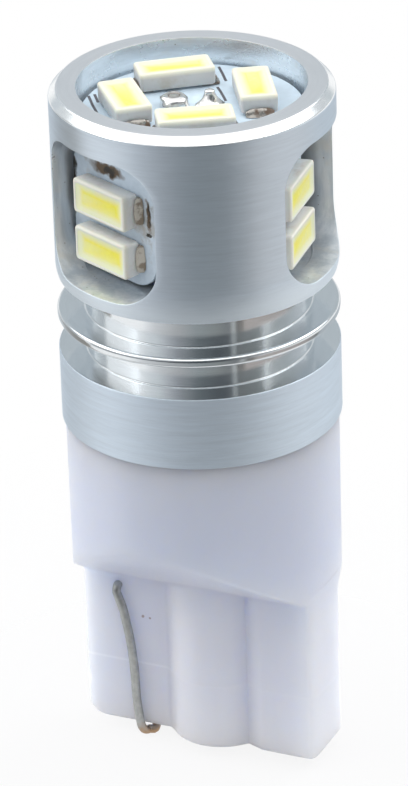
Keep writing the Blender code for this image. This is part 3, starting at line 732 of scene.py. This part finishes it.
def build_housing():
    low = Z_WINDOW_SILL - WALL_BELOW_WINDOW
    high = Z_RIM - WINDOW_TOP + WALL_ABOVE_WINDOW
    columns = WINDOW_COUNT * WALL_COLUMNS
    first = WINDOW_TURN - 180 / WINDOW_COUNT
    shapes = [lathe(rim_profile(high), columns, first), lathe(body_profile(low), columns, first)]
    for turn in WINDOW_TURNS:
        rings = window_rings(turn, low, high)
        points = [point for ring in rings for point in ring]
        shapes.append((points, strip_faces(len(rings), len(rings[0]))))
    looks = (
        duller_foot_with_painted_light(turned_aluminium("wall", (0.75, 0.83, 0.91), 0.39, 0.0006, 0.68, 0.05)),
        turned_aluminium("groove", (0.8, 0.83, 0.85), 0.15, 0.0002, 0.5, 0.03),
        inner_aluminium("milled", (1, 1, 0.15), (0.62, 0.67, 0.71), (0.8, 0.83, 0.85), 0.34, 0.65, 0.28),
        turned_aluminium("rim", (0.86, 0.87, 0.89), 0.34, 0.0002, 0.2, 0.03),
        turned_aluminium("chamfer", (0.94, 0.96, 0.97), 0.22, 0.0002, 0.3, 0.02),
        inner_aluminium("bored", (0.4, 0.4, 4), (0.78, 0.82, 0.85), (0.84, 0.88, 0.91), 0.28, 0.85, 0))
    piece = make_piece("housing", join_shapes(shapes), looks, ("heat_sink_housing",), 33)
    for face in piece.data.polygons:
        centre = face.center / MM
        out = Vector((centre.x, centre.y, 0))
        facing_out = face.normal.dot(out.normalized()) > 0.3
        if Z_LOWER_GROOVE - 0.005 < centre.z < Z_HEAD + 0.005:
            face.material_index = 1
        elif centre.z > Z_RIM - 0.01:
            face.material_index = 3
        elif centre.z > Z_RIM - WINDOW_TOP + 0.02 and out.length < HEAD_BORE + 0.05:
            face.material_index = 5
        elif centre.z > Z_RIM - RIM_CHAMFER - 0.01 and facing_out:
            face.material_index = 4
        elif centre.z > Z_HEAD and (not facing_out or out.length < HOUSING_RADIUS - 0.2):
            face.material_index = 2


# Base


def rise(height):
    share = min(height / SHOULDER_HEIGHT, 1)
    return (SKIRT_RADIUS - BLADE_THICKNESS / 2) * (1 - (1 - share) ** SHOULDER_BULGE)


def rounded_inset(height, radius):
    return 0 if height >= radius else radius - sqrt(radius ** 2 - (radius - height) ** 2)


def blade_half_thickness(across):
    flat = BLADE_THICKNESS / 2
    ridge_centre = flat + RIDGE_PROUD - RIDGE_RADIUS
    ridge = ridge_centre + sqrt(max(RIDGE_RADIUS ** 2 - (across - RIDGE_OFFSET) ** 2, 0))
    lobe = flat + LOBE_PROUD * eased(min(max((across - LOBE_START) / LOBE_RAMP, 0), 1))
    return soft_max(ridge, lobe, BASE_ROUNDING)


def inside_base(x, y, height):
    """Positive inside the moulding at a height above the blade's bottom, negative outside."""
    across = x - BLADE_SHIFT
    facing = 1 if y < 0 else -1
    thickness = blade_half_thickness(across * facing) - rounded_inset(height, FOOT_ROUNDING)
    shoulder = height - BLADE_LENGTH
    thickness = soft_max(thickness, BLADE_THICKNESS / 2 + rise(shoulder), BASE_ROUNDING)
    half_width = BLADE_WIDTH / 2 + max(shoulder - END_STEP_HEIGHT, 0)
    half_width -= rounded_inset(height, FOOT_CORNER if across < 0 else FOOT_ROUNDING)
    radius = SKIRT_RADIUS - SKIRT_DRAFT * (1 - height / (Z_BASE_TOP - Z_BLADE))
    blade = soft_min(thickness - abs(y), half_width - abs(across), BASE_ROUNDING)
    return soft_min(blade, radius - hypot(x, y), BASE_ROUNDING / 2)


def base_radius(turn, height):
    def inside(radius):
        return inside_base(radius * cos(turn), radius * sin(turn), height) > 0

    proud = MOULD_LINE_PROUD if abs(height - MOULD_LINE) < 0.001 else 0
    return furthest(SKIRT_RADIUS, inside, 24) + proud


def base_point(radius, turn, height):
    return Vector((radius * cos(turn), radius * sin(turn), height))


def skirt_edge(turn):
    reach = SKIRT_RADIUS - BLADE_THICKNESS / 2
    beyond_face = max(SKIRT_RADIUS * abs(sin(turn)) - BLADE_THICKNESS / 2, 0)
    over_face = SHOULDER_HEIGHT * (1 - (1 - beyond_face / reach) ** (1 / SHOULDER_BULGE))
    end = BLADE_WIDTH / 2 + copysign(BLADE_SHIFT, cos(turn))
    beyond_end = max(SKIRT_RADIUS * abs(cos(turn)) - end, 0)
    return BLADE_LENGTH + max(over_face, END_STEP_HEIGHT + beyond_end)


def base_levels(turn):
    levels = [FOOT_ROUNDING * share for share in (0, 0.06, 0.15, 0.3, 0.5, 0.75, 1)]
    levels += [FOOT_CORNER * share for share in (0.5, 0.7, 0.85, 1)]
    levels += [1.2, 1.9, MOULD_LINE - 0.05, MOULD_LINE, MOULD_LINE + 0.05, 3.3, 4.1, 5]
    start = BLADE_LENGTH - BASE_ROUNDING
    edge = skirt_edge(turn)
    levels += [between(start, edge, eased(row / 30)) for row in range(31)]
    levels += [edge + 0.05, edge + 0.12, edge + 0.3]
    return levels + [between(edge + 0.3, Z_BASE_TOP - Z_BLADE, share) for share in (0.35, 0.7, 0.97, 1)]


def base_columns():
    """Directions round the base, closest together at the blade's corners."""
    fine_step = radians(0.25)
    fine = [fine_step * index for index in range(-1, 722)]
    outline = [base_point(base_radius(turn, BLADE_LENGTH / 2), turn, 0) for turn in fine]
    half = []
    spent = 1
    for index in range(1, len(fine) - 1):
        if spent >= 1:
            half.append(fine[index])
            spent = 0
        arriving = outline[index] - outline[index - 1]
        leaving = outline[index + 1] - outline[index]
        bend = arriving.angle(leaving)
        spent += leaving.length / 0.22 + bend / radians(7) + fine_step / radians(3)
    return half + [turn + pi for turn in half]


def build_base():
    columns = base_columns()
    walls = [[base_point(base_radius(turn, level), turn, Z_BLADE + level) for level in base_levels(turn)]
             for turn in columns]
    rings = list(zip(*walls))
    for height in (Z_BASE_TOP, Z_BASE_TOP + SPIGOT_LENGTH):
        rings.append([base_point(COLLAR_BORE - FIT, turn, height) for turn in columns])
    make_piece("base", ring_solid(rings), (moulded_plastic(),), ("wedge_base",), 40)


# Contact wires


def smooth_route(points, steps):
    knots = [points[0] * 2 - points[1]] + points + [points[-1] * 2 - points[-2]]
    route = []
    for index in range(1, len(knots) - 2):
        before, start, end, after = knots[index - 1:index + 3]
        for step in range(steps):
            t = step / steps
            route.append(0.5 * (2 * start + (end - before) * t
                                + (2 * before - 5 * start + 4 * end - after) * t ** 2
                                + (3 * start - before - 3 * end + after) * t ** 3))
    route.append(knots[-2])
    return route


def contact_wire_route():
    radius = WIRE_DIAMETER / 2
    face = -(BLADE_THICKNESS / 2 + FIT + radius)
    under = Z_BLADE - WIRE_GAP - radius
    bend = radius + 2 * FIT
    inner_bend = arc_points((CHANNEL_Y - bend, under + bend), bend, 0, -90, 8)
    route = [Vector((CHANNEL_X, y, z)) for y, z in [(CHANNEL_Y, Z_BLADE + 2)] + inner_bend]
    hook = arc_points((face + WIRE_HOOK, under + WIRE_HOOK), WIRE_HOOK, -90, -180, 10)
    for step, (y, z) in enumerate(hook):
        share = step / (len(hook) - 1)
        route.append(Vector((between(WIRE_UNDER_X, WIRE_FOOT_X, share), y, z)))
    tuck = Z_BLADE + WIRE_TUCK
    climb = [Vector((x, face, Z_BLADE + height)) for x, height in WIRE_CLIMB]
    route += smooth_route([route[-1]] + climb + [Vector((WIRE_TUCK_X, face, tuck - bend))], 10)[1:]
    outer_bend = arc_points((face + bend, tuck - bend), bend, 180, 90, 6)[1:]
    end = (-BLADE_THICKNESS / 2 + TUCK_DEPTH / 2, tuck)
    return route + [Vector((WIRE_TUCK_X, y, z)) for y, z in outer_bend + [end]]


def tube_rings(route, radius, dents):
    """Rings of a round wire along a route, with a little unevenness in its skin."""
    rings = []
    normal = Vector((1, 0, 0))
    for index, place in enumerate(route):
        before = route[max(index - 1, 0)]
        after = route[min(index + 1, len(route) - 1)]
        along = (after - before).normalized()
        normal = (normal - along * normal.dot(along)).normalized()
        other = along.cross(normal)
        ring = []
        for side in range(WIRE_SIDES):
            turn = 2 * pi * side / WIRE_SIDES
            out = (normal * cos(turn) + other * sin(turn)) * radius
            ring.append(place + out * (1 + dents * noise.noise((place + out) * 3)))
        rings.append(ring)
    return rings


def build_contact_wires():
    wire = wire_finish()
    rings = tube_rings(contact_wire_route(), WIRE_DIAMETER / 2, 0.05)
    for side, half_turn in (("front", 0), ("rear", pi)):
        shape = ring_solid(rings, Matrix.Rotation(half_turn, 4, "Z"))
        make_piece("contact_" + side, shape, (wire,), ("contact_wire_" + side,), 60)


# Boards, LED packages and solder


def pose_of(x, y, z, origin):
    return Matrix.Translation(origin) @ Matrix((x, y, z)).transposed().to_4x4()


def on_side_board(turn, height):
    """x to the board's right, y up, z out."""
    side = bearing(turn + 90)
    origin = side * SIDE_BOARD_SHIFT + on_wall(SIDE_BOARD_REACH, turn, height)
    return pose_of(side, up(1), bearing(turn), origin)


def on_top_board(radius, seat, facing):
    return Matrix.Translation(on_wall(radius, seat, Z_TOP_BOARD)) @ Matrix.Rotation(radians(facing), 4, "Z")


def lens_outline(length, width):
    """A rounded rectangle with points along its straight sides too."""
    return along_sides(rounded_rectangle(length, width, LED_CORNER),
                       lambda index: {5: 10, 11: 5}.get(index % 12, 1))


def level_solid(levels, place):
    """A solid through outlines at their heights."""
    return ring_solid([[(x, y, height) for x, y in outline] for outline, height in levels], place)


def led_body(place):
    """Moulded package: rounded outside, a frame on top and a cup that slopes in under the lens."""
    low = LED_STANDOFF
    high = LED_FRONT
    edge = LED_ROUNDING
    lip = 2 * LENS_RIM
    levels = [(0.08, LED_CORNER, low), (0.02, LED_CORNER, low + 0.03), (0, LED_CORNER, high - edge - 0.12)]
    levels += [(2 * (edge - out), LED_CORNER - (edge - out) / 2, high - edge + lift)
               for out, lift in arc_points((0, 0), edge, 0, 90, 4)]
    levels += [(lip - 0.04, LED_CORNER, high), (lip, LED_CORNER, high - 0.02),
               (lip + 0.1, LED_CORNER, high - LENS_DEPTH)]
    return level_solid([(rounded_rectangle(LED_LENGTH - inset, LED_WIDTH - inset, corner), height)
                        for inset, corner, height in levels], place)


def led_lens(place):
    """Silicone fill, a little hollow in the middle."""
    length = LED_LENGTH - 2 * LENS_RIM + 0.03
    width = LED_WIDTH - 2 * LENS_RIM + 0.03
    levels = ((0.14, LENS_DEPTH - FIT), (0, 0.008), (0.06, 0.012), (0.16, 0.02), (0.28, 0.028), (0.42, 0.035),
              (0.6, 0.04))
    return level_solid([(lens_outline(length - inset, width - inset), LED_FRONT - drop)
                        for inset, drop in levels], place)


def led_feet(place):
    """A folded metal terminal and its lumpy solder at each end."""
    shapes = []
    end = LED_LENGTH / 2 + FIT
    for side in (-1, 1):
        outline = [(end - 0.5, FIT), (end + 0.18, FIT), (end + 0.14, 0.08), (end + 0.09, 0.16),
                   (end + 0.05, 0.25), (end, 0.28), (end, LED_STANDOFF - FIT),
                   (end - 0.5, LED_STANDOFF - FIT)]
        rings = []
        for across in (-0.5 + step / 12 for step in range(13)):
            draw = 1.05 - 0.45 * abs(2 * across) ** 4
            ring = []
            for x, z in outline:
                lump = 0.035 * noise.noise(place @ Vector((side * x * 5, across * 5, z * 5)))
                reach = end + (x - end) * draw + lump if x > end else x
                ring.append((side * max(reach, end) if x > end else side * x, across,
                             FIT + (z - FIT) * draw if z > LED_STANDOFF else z))
            rings.append(ring)
        shapes.append(ring_solid(rings, place))
    return join_shapes(shapes)


def build_led(name, place, finishes):
    body, lens, solder = finishes
    local = place.inverted()
    shift = (local.to_3x3() @ Vector(LENS_SHIFT)).xy

    def on_front(point):
        return min(max(((local @ point).z - LED_FRONT + 0.2) / 0.1, 0), 1)

    def in_middle(point):
        spot = (local @ point).xy - shift
        rim = min(LED_LENGTH / 2 - abs(spot.x), LED_WIDTH / 2 - abs(spot.y)) - LENS_RIM
        return min(max((rim - 0.04) / LENS_FADE, 0), 1)

    make_piece(name, led_body(place), (body,), (name,), 50, on_front)
    make_piece(name + "_lens", led_lens(place), (lens,), (name + "_phosphor",), 60, in_middle)
    make_piece(name + "_feet", led_feet(place), (solder,), (name + "_foot_a", name + "_foot_b"), 40)


def board_shape(outline, low, high, place=Matrix()):
    """An outline made solid, with a small slope at both edges; the outline is a function of inset."""
    levels = ((BOARD_EDGE, low), (0, low + BOARD_EDGE), (0, high - BOARD_EDGE), (BOARD_EDGE, high))
    return level_solid([(outline(inset), height) for inset, height in levels], place)


def build_top_board():
    board = plain_finish("board_mask", (0.66, 0.79, 0.9), 0.35, 0, 0.05, 3, 0.003)
    body = package_finish("led_package_top", (0.82, 0.81, 0.68), (0.58, 0.58, 0.57), (0.5, 0.46, 0.39))
    lens = phosphor_finish("phosphor_top", (0.95, 0.88, 0.12), (0.96, 0.91, 0.26), (0.88, 0.86, 0.6))
    solder = fluxed_solder("top_foot_solder", (0.42, 0.4, 0.37), (0.15, 0.1, 0.07), 0.8, 0.22)

    def disc(inset):
        radius = TOP_BOARD_RADIUS - inset
        return [bearing(360 * step / DISC_SIDES).xy * radius for step in range(DISC_SIDES)]

    shape = board_shape(disc, Z_TOP_BOARD - BOARD_THICKNESS, Z_TOP_BOARD)
    make_piece("top_board", shape, (board,), ("top_led_board",), 40)
    for name, (share, seat, facing) in TOP_LED_SEATS.items():
        place = on_top_board(TOP_BOARD_RADIUS * share, seat, facing)
        build_led("top_led_" + name, place, (body, lens, solder))


def build_side_boards():
    body = package_finish("led_package_side", (0.8, 0.79, 0.7), (0.82, 0.815, 0.785), (0.66, 0.61, 0.53))
    lens = phosphor_finish("phosphor_side", (0.88, 0.79, 0.06), (0.92, 0.85, 0.17), (0.84, 0.83, 0.56))
    solder = fluxed_solder("side_foot_solder", (0.62, 0.57, 0.49), (0.3, 0.24, 0.18), 0.15, 0.45)
    low = Z_WINDOW_SILL + FIT
    high = Z_TOP_BOARD - BOARD_THICKNESS - FIT
    middle = (low + high) / 2

    def outline(inset):
        width = SIDE_BOARD_WIDTH - 2 * inset
        return rounded_rectangle(width, high - low - 2 * inset, SIDE_BOARD_CORNER - inset, 10)

    for number, turn in enumerate(WINDOW_TURNS, 1):
        name = "side_led_board_%d" % number
        place = on_side_board(turn, middle)
        spots = [[(tuple(place @ Vector((across - SIDE_BOARD_SHIFT, height - middle, 0))), wide, tall)
                  for across, height, wide, tall in group if number == 1] for group in FLUX_AND_SHADE_SPOTS]
        board = stained_and_shaded_board("side_board_mask_%d" % number, *spots)
        shape = board_shape(outline, -BOARD_THICKNESS, 0, place)
        make_piece(name, shape, (board,), (name,), 40)
        for word, side in (("upper", 1), ("lower", -1)):
            height = Z_RIM - SIDE_LED_MIDDLE + side * (LED_WIDTH + SIDE_LED_GAP) / 2
            build_led("side_led_%d_%s" % (number, word), on_side_board(turn, height), (body, lens, solder))


def joint_profile(side):
    """Radius and height of a solder joint, from its foot to the middle of its top."""
    if side == "left":
        height = LEAD_TIPS[side] + 0.02
        foot = [(1 - 0.1 * share, share ** 0.8) for share in (0, 0.2, 0.4, 0.6)]
        top = [(0.8, 0.86), (0.66, 0.97), (0.5, 1), (0.34, 0.9), (0.02 / SOLDER_RADIUS, 0.78)]
        return [(SOLDER_RADIUS * out, height * lift) for out, lift in foot + top]
    height = LEAD_TIPS[side] + 0.05
    shares = [step / 11 for step in range(12)]
    foot = [(between(0.17, SOLDER_RADIUS, (1 - share) ** 1.7), share * 0.9) for share in shares]
    return [(radius, height * lift) for radius, lift in foot + [(0.15, 0.94), (0.1, 0.98), (0.02, 1)]]


def build_leads():
    """Solder heaped over the two leads where they come through the top board."""
    tin = plain_finish("lead_wire", (0.6, 0.6, 0.58), 0.35, 1, 0.15, 8, 0.004)
    solder = joint_solder()
    for side, sign in (("left", -1), ("right", 1)):
        centre = Vector((*LEAD_MIDDLE, 0)) + bearing(LEAD_BEARING) * sign * LEAD_SPACING / 2
        rings = []
        for radius, height in joint_profile(side):
            ring = []
            for step in range(JOINT_SIDES):
                out = bearing(360 * step / JOINT_SIDES) * radius
                uneven = 1 + 0.16 * noise.noise((out + Vector((sign * 5, height, 0))) * 3.5)
                ring.append(centre + out * uneven + up(Z_TOP_BOARD + FIT / 3 + height))
            rings.append(ring)
        # the left joint's dimple is dark brown out to this distance from its middle
        stained = SOLDER_RADIUS * 0.42 if side == "left" else -1

        def in_dimple(point):
            return min(max((stained - (point - centre).xy.length) / 0.12 + 0.5, 0), 1)

        joint = ("solder_joint_" + side,)
        make_piece("solder_" + side, ring_solid(rings), (solder,), joint, 70, in_dimple)
        refinish("supply_lead_" + side, tin)


def build_dashes():
    """Dark lines printed on the top board beside the packages."""
    ink = plain_finish("board_print", (0.1, 0.1, 0.12), 0.5, 0, 0.2, 8, 0.002)
    across = bearing(CAMERA_TURN + 90)
    back = bearing(CAMERA_TURN + 180)
    low = up(Z_TOP_BOARD - 0.01)
    high = up(Z_TOP_BOARD + 0.012)
    for number, stops in enumerate(PRINTED_LINES, 1):
        route = [across * x + back * y for x, y in stops]
        rings = []
        for step, place in enumerate(route):
            ahead = (route[min(step + 1, len(route) - 1)] - route[max(step - 1, 0)]).normalized()
            side = Vector((-ahead.y, ahead.x, 0)) * PRINT_WIDTH / 2
            top = side * 0.8
            rings.append([place - side + low, place + side + low, place + top + high, place - top + high])
        make_piece("board_line_%d" % number, ring_solid(rings), (ink,))


def finish_hidden_parts():
    """The driver inside the base keeps its CAD shapes and gets finishes of its own."""
    refinish("driver_board", plain_finish("driver_laminate", (0.03, 0.16, 0.08), 0.35))
    refinish("ceramic_capacitor", plain_finish("ceramic", (0.55, 0.42, 0.28), 0.4))
    epoxy = plain_finish("black_epoxy", (0.02, 0.02, 0.022), 0.5)
    for name in ("bridge_rectifier", "current_regulator", "resistor_1", "resistor_2"):
        refinish(name, epoxy)


# Studio


def build_camera():
    right = bearing(CAMERA_TURN + 90)
    ahead = -direction(CAMERA_TURN, CAMERA_ELEVATION)
    above = right.cross(ahead)
    roll = radians(CAMERA_ROLL)
    across = right * cos(roll) + above * sin(roll)
    upright = above * cos(roll) - right * sin(roll)
    data = bpy.data.cameras.new("camera")
    data.sensor_width = SENSOR
    data.lens = FOCAL_PIXELS * SENSOR / FRAME_PIXELS
    data.clip_start = 5 * MM
    data.clip_end = 5
    place = right * CAMERA_SIDE - ahead * CAMERA_DISTANCE + up(CAMERA_AIM)
    camera = add_object("camera", data)
    camera.matrix_world = pose_of(across, upright, -ahead, place * MM)
    scene.camera = camera


def build_world():
    """An even white studio; the screens round the bulb give its metal something to reflect."""
    world = bpy.data.worlds.new("studio")
    world.use_nodes = True
    scene.world = world
    world.node_tree.nodes["Background"].inputs["Color"].default_value = (1, 1, 1, 1)


def show(made, shader):
    made.node_tree.links.new(shader, made.node_tree.nodes["Material Output"].inputs["Surface"])


def build_screen(name, low, high, stops):
    """A screen on a sphere round the bulb, between two elevations, unseen by the camera.

    Its stops are azimuths, from the camera's side and positive to its right, with colours in hundredths.
    """
    first = stops[0][0]
    last = stops[-1][0]
    points = []
    for row in range(SCREEN_ROWS):
        lift = between(low, high, row / (SCREEN_ROWS - 1))
        for column in range(SCREEN_COLUMNS):
            turn = CAMERA_TURN + between(first, last, column / (SCREEN_COLUMNS - 1))
            points.append(direction(turn, lift) * SCREEN_RADIUS)
    screen = mesh_object(name, points, strip_faces(SCREEN_ROWS, SCREEN_COLUMNS, closed=False))
    screen.location.z = CAMERA_AIM * MM
    screen.visible_camera = False
    made = new_material(name)
    middle = CAMERA_TURN + (first + last) / 2
    turned = node(made, "VectorRotate", "Vector", rotation_type="Z_AXIS", Angle=-radians(middle),
                  Vector=node(made, "TexCoord", "Object"))
    x, y, _ = node(made, "SeparateXYZ", Vector=turned).outputs
    angle = maths("ARCTAN2", x, maths("MULTIPLY", y, -1))
    half = radians(last - first) / 2
    ramp = node(made, "ValToRGB", Fac=spread(angle, -half, half))
    elements = ramp.color_ramp.elements
    while len(elements) < len(stops):
        elements.new(0.5)
    for element, (azimuth, *colour) in zip(elements, stops):
        element.position = (azimuth - first) / (last - first)
        element.color = (*(part / 100 for part in colour), 1)
    show(made, node(made, "Emission", "Emission", Color=ramp.outputs["Color"]))
    screen.data.materials.append(made)


def build_studio():
    build_screen("front_low", -40, -14, (
        (-58, 93, 94, 95), (-45, 66, 67, 69), (-23, 44, 45, 46), (-3, 30, 33, 34),
        (17, 25, 27, 27), (31, 19, 20, 21), (32, 46, 48, 48), (36, 46, 48, 48),
        (36.6, 10, 10, 10), (39, 20, 19, 18)))
    build_screen("front_high", 14, 50, (
        (-58, 93, 94, 95), (-45, 78, 80, 82), (-23, 36, 37, 39), (-3, 16, 18, 19),
        (17, 10, 11, 12), (31, 11, 12, 13), (32, 46, 48, 48), (36, 46, 48, 48),
        (36.6, 5, 5, 5), (39, 12, 12, 12)))
    for name, low, high in (("front_floor", -62, -40), ("front_middle", -14, 14)):
        build_screen(name, low, high, (
            (-95, 38, 40, 42), (-45, 23, 25, 27), (-23, 9, 10, 11), (-5, 3, 4, 5),
            (17, 10, 11, 12), (36, 22, 23, 24), (50, 48, 50, 51), (90, 95, 97, 98)))
    build_screen("right_low", -36, -16, (
        (39, 20, 19, 18), (43, 20, 19, 18), (46, 44, 40, 38), (96, 40, 37, 36),
        (106, 26, 27, 27), (112, 24, 26, 26)))
    build_screen("right_high", 16, 36, (
        (39, 16, 17, 17), (80, 24, 26, 26), (100, 36, 39, 40), (112, 44, 47, 49),
        (134, 46, 49, 52)))
    build_screen("back_high", 8, 40, ((135, 48, 53, 56), (225, 53, 58, 62)))
    build_screen("back_low", -45, -8, ((112, 46, 50, 53), (213, 62, 67, 71)))
    build_screen("left_low", -45, 0, (
        (-146, 50, 52, 54), (-122, 32, 32, 31), (-100, 28, 27, 25)))
    build_screen("left_high", 0, 36, ((-134, 56, 60, 62), (-110, 46, 48, 49)))
    build_lamp("overhead", 0, 75, 420, (480, 480), 0.4)
    build_lamp("edge_right", 102, 44, 420, (480, 170), 0.5)
    build_lamp("edge_left", -102, 44, 420, (480, 170), 0.5)
    build_lamp("rim_right", 132, 12, 360, (130, 260), 0.46, False)
    build_lamp("rim_left", -112, 8, 360, (130, 260), 0.56, False)
    build_lamp("fill", 12, 15, 420, (200, 200), 0.34, False)


def build_floor():
    """A pale floor that fades into the white backdrop and keeps the bulb's shadow."""
    rim = [on_wall(FLOOR_RADIUS, 360 * step / DISC_SIDES, FLOOR_DROP) for step in range(DISC_SIDES)]
    faces = [(0, 1 + step, 1 + (step + 1) % DISC_SIDES) for step in range(DISC_SIDES)]
    floor = mesh_object("floor", [up(FLOOR_DROP)] + rim, faces)
    made = new_material("floor", 0.9, Base_Color=(0.64, 0.64, 0.66, 1))
    path = node(made, "LightPath").outputs
    seen = maths("MAXIMUM", path["Is Camera Ray"], path["Is Glossy Ray"])
    seen = maths("MAXIMUM", seen, path["Is Transmission Ray"])
    lit = node(made, "MixShader", "Shader", i0=maths("MULTIPLY", seen, FLOOR_WHITE),
               i1=shader_of(made).outputs["BSDF"], i2=node(made, "Emission", "Emission"))
    distance = vector_maths("LENGTH", place_in_mm(made))
    show(made, node(made, "MixShader", "Shader", i0=spread(distance, FLOOR_RADIUS * 0.3, FLOOR_RADIUS),
                    i1=lit, i2=node(made, "BsdfTransparent", "BSDF")))
    floor.data.materials.append(made)


def build_lamp(name, azimuth, lift, distance, size, power, mirrored=True):
    """A soft lamp, aimed at the bulb; azimuth is from the camera's side."""
    data = bpy.data.lights.new(name, "AREA")
    data.shape = "RECTANGLE"
    data.size, data.size_y = [side * MM for side in size]
    data.energy = power
    lamp = add_object(name, data)
    out = direction(CAMERA_TURN + azimuth, lift)
    lamp.location = (out * distance + up(CAMERA_AIM)) * MM
    lamp.rotation_mode = "QUATERNION"
    lamp.rotation_quaternion = out.to_track_quat("Z", "Y")
    lamp.visible_glossy = mirrored


build_camera()
build_housing()
build_base()
build_contact_wires()
build_top_board()
build_side_boards()
build_leads()
build_dashes()
finish_hidden_parts()
build_world()
build_studio()
build_floor()
scene.view_settings.view_transform = "Standard"
